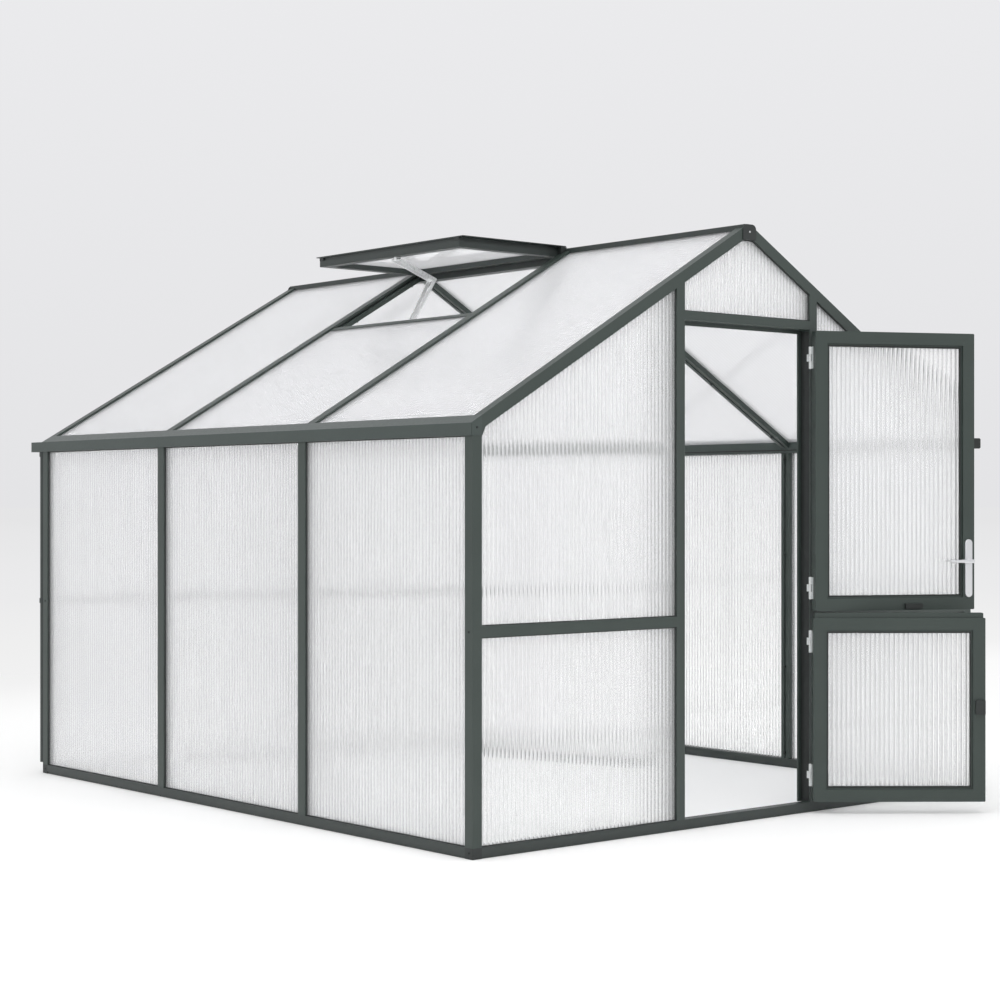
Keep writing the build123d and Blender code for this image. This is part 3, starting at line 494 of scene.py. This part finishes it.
def leafSheet(z0, z1, angle):
    inset = leaf["sheetInset"]
    reach = leaf["edge"] - inset
    sheet = flutedSheet((0, leaf["middleY"] - house["sheet"] / 2, 0), (1, 0, 0), (0, 0, 1), (0, -1, 0),
                        -reach, reach, level(z0 + inset), level(z1 - inset), leaf["innerRise"])
    return swungShape(sheet, angle)


upperSheet = leafSheet(*leaf["upper"], house["upperAngle"])
lowerSheet = leafSheet(*leaf["lower"], house["lowerAngle"])
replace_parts(makePiece("flutedUpperLeafSheet", upperSheet, "upper_leaf", "twin_wall_polycarbonate"),
            "upper_door_glazing")
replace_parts(makePiece("flutedLowerLeafSheet", lowerSheet, "lower_leaf", "twin_wall_polycarbonate"),
            "lower_door_glazing")
print("fluted sheets made")


# rubber and small hardware, as (radius, height) outlines in millimetres

# pan head screw with a hexagon socket, from the rim of its seat to the socket's floor
panHead = [(0.0, 0.0), (3.6, 0.0), (3.7, 0.7), (3.3, 1.6), (2.4, 2.1), (1.5, 2.2), (1.3, 1.0), (0.0, 1.0)]
# domed nut on a washer
domedNut = [(0.0, 0.0), (8.0, 0.0), (8.0, 1.0), (6.2, 1.1), (6.2, 4.0), (5.6, 5.2), (3.6, 6.2), (0.0, 6.6)]
# hexagon nut with the end of its bolt
boltNut = [(0.0, 0.0), (6.0, 0.0), (6.0, 4.6), (5.4, 5.0), (3.0, 5.0), (3.0, 8.0), (2.4, 8.4), (0.0, 8.4)]
# countersunk head, nearly flush, with a socket
flatHead = [(0.0, 0.0), (3.4, 0.0), (3.4, 0.25), (3.1, 0.45), (1.4, 0.45), (1.2, 0.1), (0.0, 0.1)]
smallHead = 0.8  # size of the door's screws against the frame's


# the same turned outline set at several points, all along one axis
def heads(outline, points, axis, steps=14, size=1.0):
    scaled = np.array(outline) * 0.001 * size
    return joined([turned(scaled, point, axis, steps) for point in points])


# pressed end plates on the front ends of the gutter beams, a millimetre proud; slopeInset is how far they stay
# below the slope, as a multiple of the inset
endPlate = {"thick": 0.0012, "inset": 0.0012, "slopeInset": 1.4}

halfWidth, frontY, backY = house["halfWidth"], house["frontY"], house["backY"]
screws = {
    "railHeight": 0.706,  # middle of the mid rails
    "baseHeight": 0.018,
    "postInset": 0.019,
    "gutterX": 1.2325, "gutterZ": 1.3430,
    "ridgeZ": 2.052, "ridgeCap": 0.003,  # thickness of the ridge caps that they hold
}
postY = (frontY + screws["postInset"], backY - screws["postInset"])
frameHeads = [heads(panHead, [(side * halfWidth, y, screws[key]) for y in postY], (side, 0, 0))
              for key in ("railHeight", "baseHeight") for side in (-1, 1)]
endPlaces = [(side * screws["gutterX"], frontY - endPlate["thick"], screws["gutterZ"]) for side in (-1, 1)]
capHeads = [heads(panHead, [(0, y, screws["ridgeZ"])], (0, way, 0))
            for y, way in ((frontY - screws["ridgeCap"], -1), (backY + screws["ridgeCap"], 1))]
makePiece("frameScrews", joined([*frameHeads, heads(panHead, endPlaces, (0, -1, 0))]), "house", "black_plastic")
makePiece("ridgeCapScrews", joined(capHeads), "house", "zinc_plated_steel")


def gutterEndPlate(side):
    inset, thick = endPlate["inset"], endPlate["thick"]
    outer, inner = house["eavesX"] - inset, house["gutterInner"] + inset
    low, drop = house["wallTop"] + inset, inset * endPlate["slopeInset"]
    outline = np.array([(outer, low), (outer, roofZ(outer) - drop), (inner, roofZ(inner) - drop), (inner, low)])
    return carried(outline * [side, 1], (0, frontY - thick, 0), (1, 0, 0), (0, 0, 1), (0, thick, 0))


makePiece("gutterEndPlates", joined([gutterEndPlate(-1), gutterEndPlate(1)]), "house", "grey_coated_aluminium")

# rubber seal pressed into the groove along the inside of each gutter beam
eavesSeal = {"low": 0.0094, "high": 0.0136, "back": 0.0038, "proud": 0.0006, "bevel": 0.001}
sealBack, sealProud = -eavesSeal["back"], eavesSeal["proud"]
sealOutline = np.array([
    (sealBack, eavesSeal["low"]), (0.0, eavesSeal["low"]), (sealProud, eavesSeal["low"] + eavesSeal["bevel"]),
    (sealProud, eavesSeal["high"] - eavesSeal["bevel"]), (0.0, eavesSeal["high"]), (sealBack, eavesSeal["high"])])
seals = [carried(sealOutline * [-side, 1], (side * house["gutterInner"], frontY + house["depth"], house["wallTop"]),
                 (1, 0, 0), (0, 0, 1), (0, backY - frontY - 2 * house["depth"], 0)) for side in (-1, 1)]
makePiece("eavesSeals", joined(seals), "house", "black_plastic", material=rubber)

# rubber glazing bead: a quarter-round fin in the corner between lip and sheet, as (inwards, up from the sheet); its
# black is also a painted shadow line along the lip's edge
beadSection = np.array([(-0.0012, -0.0006), (0.0030, -0.0006), (0.0032, 0.0002), (0.0018, 0.0020),
                        (0.0003, 0.0034), (-0.0012, 0.0036)])
# where the bead of a gable's side sheet steps round the gutter's end, and where it meets the rafter
beadStep = {"x": 1.196, "z": 1.347, "rafterX": 1.138}


# underside of the rafters at x
def underZ(x):
    return roofZ(x) - rafterUnder


def gableLights(y, outward, middle):
    postX, jambX = -lowX + hold, -highX - hold
    low = [(postX, house["baseTop"]), (jambX, house["baseTop"]), (jambX, house["midLow"]), (postX, house["midLow"])]
    foot = [(-house["gutterInner"], house["wallTop"]), (-beadStep["x"], beadStep["z"]),
            (-beadStep["rafterX"], underZ(beadStep["rafterX"]))]
    high = [(postX, house["midHigh"]), (jambX, house["midHigh"]), (jambX, underZ(highX + hold)), *foot[::-1],
            (postX, house["wallTop"])]
    outlines = [low, high] + [[(-x, z) for x, z in outline[::-1]] for outline in (low, high)] + middle
    return [loopAlong([(x, y, z) for x, z in outline][::-outward], (0, outward, 0), beadSection)
            for outline in outlines]


# a light under the ridge: level at its foot, and following both rafters above
def ridgeLight(half, foot):
    return [(-half, foot), (half, foot), (half, underZ(half)), (ridgeHalf, underZ(ridgeHalf)),
            (-ridgeHalf, underZ(ridgeHalf)), (-half, underZ(half))]


backHalf = house["jambOuter"] - house["barFace"]
backLow = [(-backHalf, house["baseTop"]), (backHalf, house["baseTop"]),
           (backHalf, house["midLow"]), (-backHalf, house["midLow"])]
beads = (gableLights(frontSheetY, -1, [ridgeLight(doorHalf, house["lintelTop"])])
         + gableLights(backSheetY, 1, [backLow, ridgeLight(backHalf, house["midHigh"])]))
for side in (-1, 1):
    x = side * (halfWidth - house["lip"])
    for y0, y1 in wallBays:
        y0, y1 = y0 + hold, y1 - hold
        corners = [(x, y0, house["baseTop"]), (x, y1, house["baseTop"]),
                   (x, y1, house["wallTop"]), (x, y0, house["wallTop"])]
        beads.append(loopAlong(corners[::side], (side, 0, 0), beadSection))
# the beads: black rubber that also paints the shadow line where each lip meets its sheet
makePiece("glazingBeadsAndLipShadow", joined(beads), "house", "black_plastic", material=rubber)

# nuts on the bolts that hold the bars, in the slots inside; roofOffsets run in from the gutter beam
nuts = {"wallHeights": (0.060, 0.420, 0.890, 1.290), "roofOffsets": (0.060, 0.420, 0.860, 1.140), "depth": 0.038}
inX = halfWidth - nuts["depth"]
pitchAngle = radians(house["pitch"])
nutShapes = []
for side in (-1, 1):
    places = [(side * inX, y, z) for y in house["barLines"] for z in nuts["wallHeights"]]
    nutShapes.append(heads(boltNut, places, (-side, 0, 0), 6))
    normal = np.array([-side * np.sin(pitchAngle), 0, -np.cos(pitchAngle)])
    for y in house["barLines"]:
        for offset in nuts["roofOffsets"]:
            x = side * (house["gutterInner"] - offset)
            top = np.array([x, y, roofZ(x)])
            nutShapes.append(heads(boltNut, [top + normal * nuts["depth"]], normal, 6))
makePiece("barNuts", joined(nutShapes), "house", "black_plastic")

# stay: domed nuts on both outer faces at the knee and the pins, given as (x, z) and half the width there
stay = {
    "y": 1.326, "nutSize": 0.85, "nutSteps": 12,
    "pins": (((-0.342, 1.970), 0.0185), ((-0.514, 2.0341), 0.0185), ((-0.452, 1.7793), 0.0085)),
}
stayShapes = [heads(domedNut, [(x, stay["y"] + way * half, z)], (0, way, 0), stay["nutSteps"], stay["nutSize"])
              for (x, z), half in stay["pins"] for way in (-1, 1)]
makePiece("stayNuts", joined(stayShapes), "house", "zinc_plated_steel")

# vent: stop blocks at both ends of the hinge groove, and corner caps in the grooves round the sash
stops = {"length": 0.017, "gap": 0.003,
         "profile": ((-0.018, 2.0835), (-0.047, 2.0835), (-0.047, 2.0555), (-0.018, 2.0710))}
sash = {"x": -0.533, "y": (0.9283, 1.8037), "grooveZ": (2.0701, 2.0821), "depth": 0.006}
cap = {"long": 0.024, "proud": 0.0006, "shift": 0.0005, "play": 0.0004, "round": 0.0008}
stopShapes = [carried(np.array(stops["profile"]), (0, y, 0), (1, 0, 0), (0, 0, 1), (0, way * stops["length"], 0))
              for y, way in ((sash["y"][0] - stops["gap"], -1), (sash["y"][1] + stops["gap"], 1))]
grooveLow, grooveHigh = sash["grooveZ"]
middleZ = (grooveLow + grooveHigh) / 2
capSection = roundRect(sash["depth"] + cap["proud"], grooveHigh - grooveLow - cap["play"], cap["round"])
capInset = sash["depth"] / 2 - cap["shift"]
capShapes = []
for y, way in zip(sash["y"], (1, -1)):
    capShapes.append(carried(capSection, (sash["x"] + capInset, y - way * cap["proud"], middleZ),
                             (1, 0, 0), (0, 0, 1), (0, way * cap["long"], 0)))
    capShapes.append(carried(capSection, (sash["x"] - cap["proud"], y + way * capInset, middleZ),
                             (0, 1, 0), (0, 0, 1), (cap["long"], 0, 0)))
makePiece("ventStopsAndCaps", joined(stopShapes + capShapes), "house", "black_plastic")
print("house details made")

# strips of the rubber down the reveals of both jambs: painted shade where the open leaf and the house keep light
# out of the reveals
revealShade = {"thick": 0.0009, "from": -0.0165, "to": 0.0275, "low": 0.040, "high": 1.722, "bevel": 0.002}
revealShadeStrips = []
for side in (-1, 1):
    proud = -side * revealShade["thick"]
    strip = np.array([(0.0, revealShade["from"]), (0.0, revealShade["to"]),
                      (proud, revealShade["to"] - revealShade["bevel"]), (proud, revealShade["from"] + revealShade["bevel"])])
    revealShadeStrips.append(carried(strip, (side * doorHalf, 0, revealShade["low"]), (1, 0, 0), (0, 1, 0),
                              (0, 0, revealShade["high"] - revealShade["low"])))
makePiece("jambRevealShadeStrips", joined(revealShadeStrips), "house", "black_plastic", material=rubber)

# leaves, made closed and swung open

# flat rubber with a raised lip round the sheet, as (outwards over the bead, up from the sheet)
leafSeal = np.array([(-0.0004, -0.0075), (-0.0004, 0.0004), (0.0022, 0.0012), (0.0040, 0.0004), (0.0040, -0.0004),
                     (0.0008, -0.0006), (0.0008, -0.0075)])


def leafSeals(z0, z1, angle):
    x, low, high = leaf["edge"] - leaf["clear"], z0 + leaf["clear"], z1 - leaf["clear"]
    corners = [(-x, low), (x, low), (x, high), (-x, high)]
    section = leafSeal * [-1, 1]
    outside = loopAlong([(u, leaf["outer"] + leaf["bead"], v) for u, v in corners], (0, -1, 0), section)
    inside = loopAlong([(u, leaf["inner"] - leaf["bead"], v) for u, v in corners[::-1]], (0, 1, 0), section)
    return swungShape(joined([outside, inside]), angle)


upperSeals = leafSeals(*leaf["upper"], house["upperAngle"])
lowerSeals = leafSeals(*leaf["lower"], house["lowerAngle"])
makePiece("upperLeafSeals", upperSeals, "upper_leaf", "black_plastic", material=rubber)
makePiece("lowerLeafSeals", lowerSeals, "lower_leaf", "black_plastic", material=rubber)

# hinges: pin caps and two countersunk screws a plate; upper and lower are the hinges' middle heights
hinge = {"upper": (0.803, 1.627), "lower": (0.134, 0.612), "height": 0.078, "plate": 0.0025,
         "screwY": -0.0125, "spread": 0.026, "screwSteps": 12, "capSteps": 14}
pinCap = [(0.0, 0.0), (3.0, 0.0), (3.0, 0.6), (2.2, 1.4), (0.0, 1.7)]
leafHeads, jambHeads = {}, []
for key, angle in (("upper", house["upperAngle"]), ("lower", house["lowerAngle"])):
    leafPlaces = [(leaf["edge"] + hinge["plate"], hinge["screwY"], z + way * hinge["spread"])
                  for z in hinge[key] for way in (-1, 1)]
    jambPlaces = [(doorHalf - hinge["plate"], hinge["screwY"], z) for z in hinge[key]]
    leafHeads[key] = swungShape(heads(flatHead, leafPlaces, (1, 0, 0), hinge["screwSteps"], smallHead), angle)
    jambHeads.append(heads(flatHead, jambPlaces, (-1, 0, 0), hinge["screwSteps"], smallHead))
    for way in (-1, 1):
        pinEnds = [(house["hingeX"], house["hingeY"], z + way * hinge["height"] / 2) for z in hinge[key]]
        jambHeads.append(heads(pinCap, pinEnds, (0, 0, way), hinge["capSteps"]))
makePiece("jambHingeScrews", joined(jambHeads), "house", "zinc_plated_steel")
makePiece("upperHingeScrews", leafHeads["upper"], "upper_leaf", "zinc_plated_steel")
makePiece("lowerHingeScrews", leafHeads["lower"], "lower_leaf", "zinc_plated_steel")

# lever handle: long plates with rolled edges and levers that taper towards a rounded tip
handle = {
    "x": -0.283, "z": 0.897, "plateZ": 0.871, "plate": (0.028, 0.210, 0.007), "roll": 0.0025,
    "standoff": 0.040, "thick": 0.012, "lead": 0.008,  # the grip starts this far past its spindle
    "wide": 0.0145, "narrow": 0.0105, "taperFrom": 0.012, "taperOver": 0.060,
    "neck": 0.0068, "collar": 0.0095, "collarHigh": 0.004, "neckFrom": 0.006, "sunk": 0.004,
    "screwUp": 0.090,  # from the plate's middle to its screws
    # cross-sections along the grip, as distance from its start and share of its full width
    "rows": ((0.0, 0.30), (0.0006, 0.55), (0.003, 0.85), (0.010, 1.0), (0.022, 1.0), (0.045, 1.0), (0.068, 1.0),
             (0.082, 1.0), (0.0885, 0.86), (0.0905, 0.58), (0.091, 0.30)),
}


# lever plate: the round-ended outline, drawn in and raised in rings along a quarter circle at the rim
def handlePlate(y, outward):
    width, height, thick = handle["plate"]
    roll = handle["roll"]
    turn = np.linspace(0, pi / 2, 5)
    inset = np.concatenate([[0.0], roll * (1 - np.cos(turn))])
    rise = np.concatenate([[0.0], thick - roll + roll * np.sin(turn)])
    rings = [roundRect(width - 2 * d, height - 2 * d, width / 2 - d - 1e-5, 8) for d in inset]
    points = np.concatenate([np.c_[ring, np.full(len(ring), h)] for ring, h in zip(rings, rise)])
    placed = np.stack([handle["x"] + points[:, 0], y + outward * points[:, 2], handle["plateZ"] + points[:, 1]], -1)
    return placed, cappedFaces(len(rings), len(rings[0]))


# lever: the grip's width at a distance a narrows by the smooth step t * t * (3 - 2 * t), and its ends shrink
def leverGrip(y):
    along, scale = np.array(handle["rows"]).T
    t = np.clip((along - handle["taperFrom"]) / handle["taperOver"], 0, 1)
    wide = handle["wide"] + (handle["narrow"] - handle["wide"]) * t * t * (3 - 2 * t)
    ring = roundRect(1.0, 1.0, 0.38, 4)
    points = np.concatenate([np.c_[ring * [w * k, handle["thick"] * (0.5 + 0.5 * k)], np.full(len(ring), a)]
                             for a, w, k in zip(along, wide, scale)])
    start = handle["x"] - handle["lead"]
    placed = np.stack([start + points[:, 2], y + points[:, 1], handle["z"] + points[:, 0]], -1)
    return placed, cappedFaces(len(along), len(ring))


leafFaces = ((leaf["outer"], -1), (leaf["inner"], 1))
plates = swungShape(joined([handlePlate(face, way) for face, way in leafFaces]), house["upperAngle"])
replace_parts(makePiece("handlePlates", plates, "upper_leaf", "satin_aluminium", 50), "door_handle_plates")
neckEnd = handle["standoff"] - handle["thick"] + handle["sunk"]
collar = [(0.0, 0.0), (handle["collar"], 0.0), (handle["collar"], handle["collarHigh"]),
          (handle["neck"], handle["neckFrom"]), (handle["neck"], neckEnd), (0.0, neckEnd)]
leverShapes, plateHeads = [], []
for face, way in leafFaces:
    plateFace = face + way * handle["plate"][2]
    leverShapes.append(turned(collar, (handle["x"], plateFace, handle["z"]), (0, way, 0), 20))
    leverShapes.append(leverGrip(face + way * (handle["standoff"] - handle["thick"] / 2)))
    screwPlaces = [(handle["x"], plateFace, handle["plateZ"] + up * handle["screwUp"]) for up in (-1, 1)]
    plateHeads.append(heads(panHead, screwPlaces, (0, way, 0), 12, smallHead))
levers = swungShape(joined(leverShapes), house["upperAngle"])
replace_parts(makePiece("handleLevers", levers, "lever", "satin_aluminium", 50), "door_levers")
handleScrews = swungShape(joined(plateHeads), house["upperAngle"])
makePiece("handleScrews", handleScrews, "upper_leaf", "zinc_plated_steel")
print("leaf details made")


# stage, light and camera

# shades of the floor's glow, a painted pool of light that is white near its middle and greys outwards, are given by
# their distance from the pool's middle, in metres
stage = {
    "size": 400.0, "floorZ": -0.0005, "pool": (4.0, -3.0, 0.0),
    "lightPoolShades": ((4.5, "#ffffff"), (7.5, "#fbfbfb"), (9.5, "#f2f2f2"), (13.0, "#efefef"), (20.0, "#ebebec"),
                   (45.0, "#e8e8e9"), (120.0, "#e5e5e6")),
    "paper": "#fbfbfb", "litMiddle": (0.0, 1.4, 0.0), "litRadius": 2.6, "fadeRadius": 6.0,
    "skyLow": "#e4e4e6", "skyHigh": "#ebebed", "climb": 0.25, "worldLevel": 0.96,
}
floorMesh = bpy.data.meshes.new("floor")
corners = np.array([[-1, -1], [1, -1], [1, 1], [-1, 1]]) * stage["size"]
floorMesh.from_pydata([(x, y, stage["floorZ"]) for x, y in corners.tolist()], [], [[0, 1, 2, 3]])
floor = bpy.data.objects.new("floor", floorMesh)
scene.collection.objects.link(floor)
# seamless studio paper: white and lit round the house, and past that it glows as a painted pool of light that fades
# into the backdrop's greys
floorPaper, tree, output, place = newMaterial("seamlessPaperFloor")
toPool = addNode(tree, "ShaderNodeVectorMath", {0: place, 1: stage["pool"]}, operation="DISTANCE")
reach = stage["lightPoolShades"][-1][0]
poolShare = addNode(tree, "ShaderNodeMath", {0: toPool.outputs["Value"], 1: reach}, operation="DIVIDE")
# the painted pool of light's shades, by distance
lightPoolRamp = addNode(tree, "ShaderNodeValToRGB", {"Fac": poolShare.outputs[0]},
                   [(radius / reach, shade) for radius, shade in stage["lightPoolShades"]])
toHouse = addNode(tree, "ShaderNodeVectorMath", {0: place, 1: stage["litMiddle"]}, operation="DISTANCE")
fade = addNode(tree, "ShaderNodeMapRange", {
    "Value": toHouse.outputs["Value"], "From Min": stage["litRadius"], "From Max": stage["fadeRadius"]},
    interpolation_type="SMOOTHSTEP")
lit = addNode(tree, "ShaderNodeBsdfDiffuse", {"Color": linear(stage["paper"])})
glow = addNode(tree, "ShaderNodeEmission", {"Color": lightPoolRamp.outputs["Color"], "Strength": 1.0})
blend = addNode(tree, "ShaderNodeMixShader", {
    0: fade.outputs["Result"], 1: lit.outputs["BSDF"], 2: glow.outputs["Emission"]})
tree.links.new(blend.outputs["Shader"], output.inputs["Surface"])
floorMesh.materials.append(floorPaper)

# backdrop: a grey that grows lighter upwards where it is seen, directly or in or through a piece, and white light
# for the rest
world = bpy.data.worlds.new("studio")
scene.world = world
world.use_nodes = True
tree = world.node_tree
tree.nodes.clear()
output = addNode(tree, "ShaderNodeOutputWorld")
direction = addNode(tree, "ShaderNodeTexCoord").outputs["Generated"]
heading = addNode(tree, "ShaderNodeSeparateXYZ", {"Vector": direction})
climb = addNode(tree, "ShaderNodeMapRange", {
    "Value": heading.outputs["Z"], "From Min": 0.0, "From Max": stage["climb"]})
sky = addNode(tree, "ShaderNodeMix", {
    0: climb.outputs["Result"], 6: linear(stage["skyLow"]), 7: linear(stage["skyHigh"])}, data_type="RGBA")
seen = addNode(tree, "ShaderNodeBackground", {"Color": sky.outputs[2], "Strength": 1.0})
glowing = addNode(tree, "ShaderNodeBackground", {"Color": linear("#ffffff"), "Strength": stage["worldLevel"]})
path = addNode(tree, "ShaderNodeLightPath")
direct = addNode(tree, "ShaderNodeMath", {
    0: path.outputs["Is Camera Ray"], 1: path.outputs["Is Glossy Ray"]}, operation="MAXIMUM")
direct = addNode(tree, "ShaderNodeMath", {
    0: direct.outputs[0], 1: path.outputs["Is Transmission Ray"]}, operation="MAXIMUM")
mixed = addNode(tree, "ShaderNodeMixShader", {0: direct.outputs[0], 1: glowing.outputs[0], 2: seen.outputs[0]})
tree.links.new(mixed.outputs["Shader"], output.inputs["Surface"])

lamps = {
    "overhead": {"place": (-1.5, -1.0, 6.0), "size": 6.0, "power": 118.0},
    "frontLeft": {"place": (-5.5, -5.0, 3.5), "size": 4.0, "power": 48.0},
}
lampTarget = (0.0, 1.2, 0.9)
for name, lamp in lamps.items():
    light = bpy.data.lights.new(name, "AREA")
    light.shape = "SQUARE"
    light.size = lamp["size"]
    light.energy = lamp["power"]
    lampObject = bpy.data.objects.new(name, light)
    lampObject.location = lamp["place"]
    aim = Vector(lampTarget) - Vector(lamp["place"])
    lampObject.rotation_euler = aim.to_track_quat("-Z", "Y").to_euler()
    scene.collection.objects.link(lampObject)

viewpoint = {"place": (-5.3920, -5.0344, 1.1081), "turn": -40.302, "lens": 75.54, "sensor": 36,
             "shiftY": 0.00277, "farthest": 600}
cameraData = bpy.data.cameras.new("camera")
cameraData.lens = viewpoint["lens"]
cameraData.sensor_width = viewpoint["sensor"]
cameraData.shift_y = viewpoint["shiftY"]
cameraData.clip_end = viewpoint["farthest"]
camera = bpy.data.objects.new("camera", cameraData)
camera.location = viewpoint["place"]
camera.rotation_euler = (radians(90), 0, radians(viewpoint["turn"]))
scene.collection.objects.link(camera)
scene.camera = camera
# light passes through several sheets of glazing before it is lost
scene.cycles.max_bounces = 20
scene.cycles.glossy_bounces = 8
scene.cycles.transmission_bounces = 20
scene.cycles.transparent_max_bounces = 24
scene.view_settings.view_transform = "Standard"
print("stage, lamps and camera set")
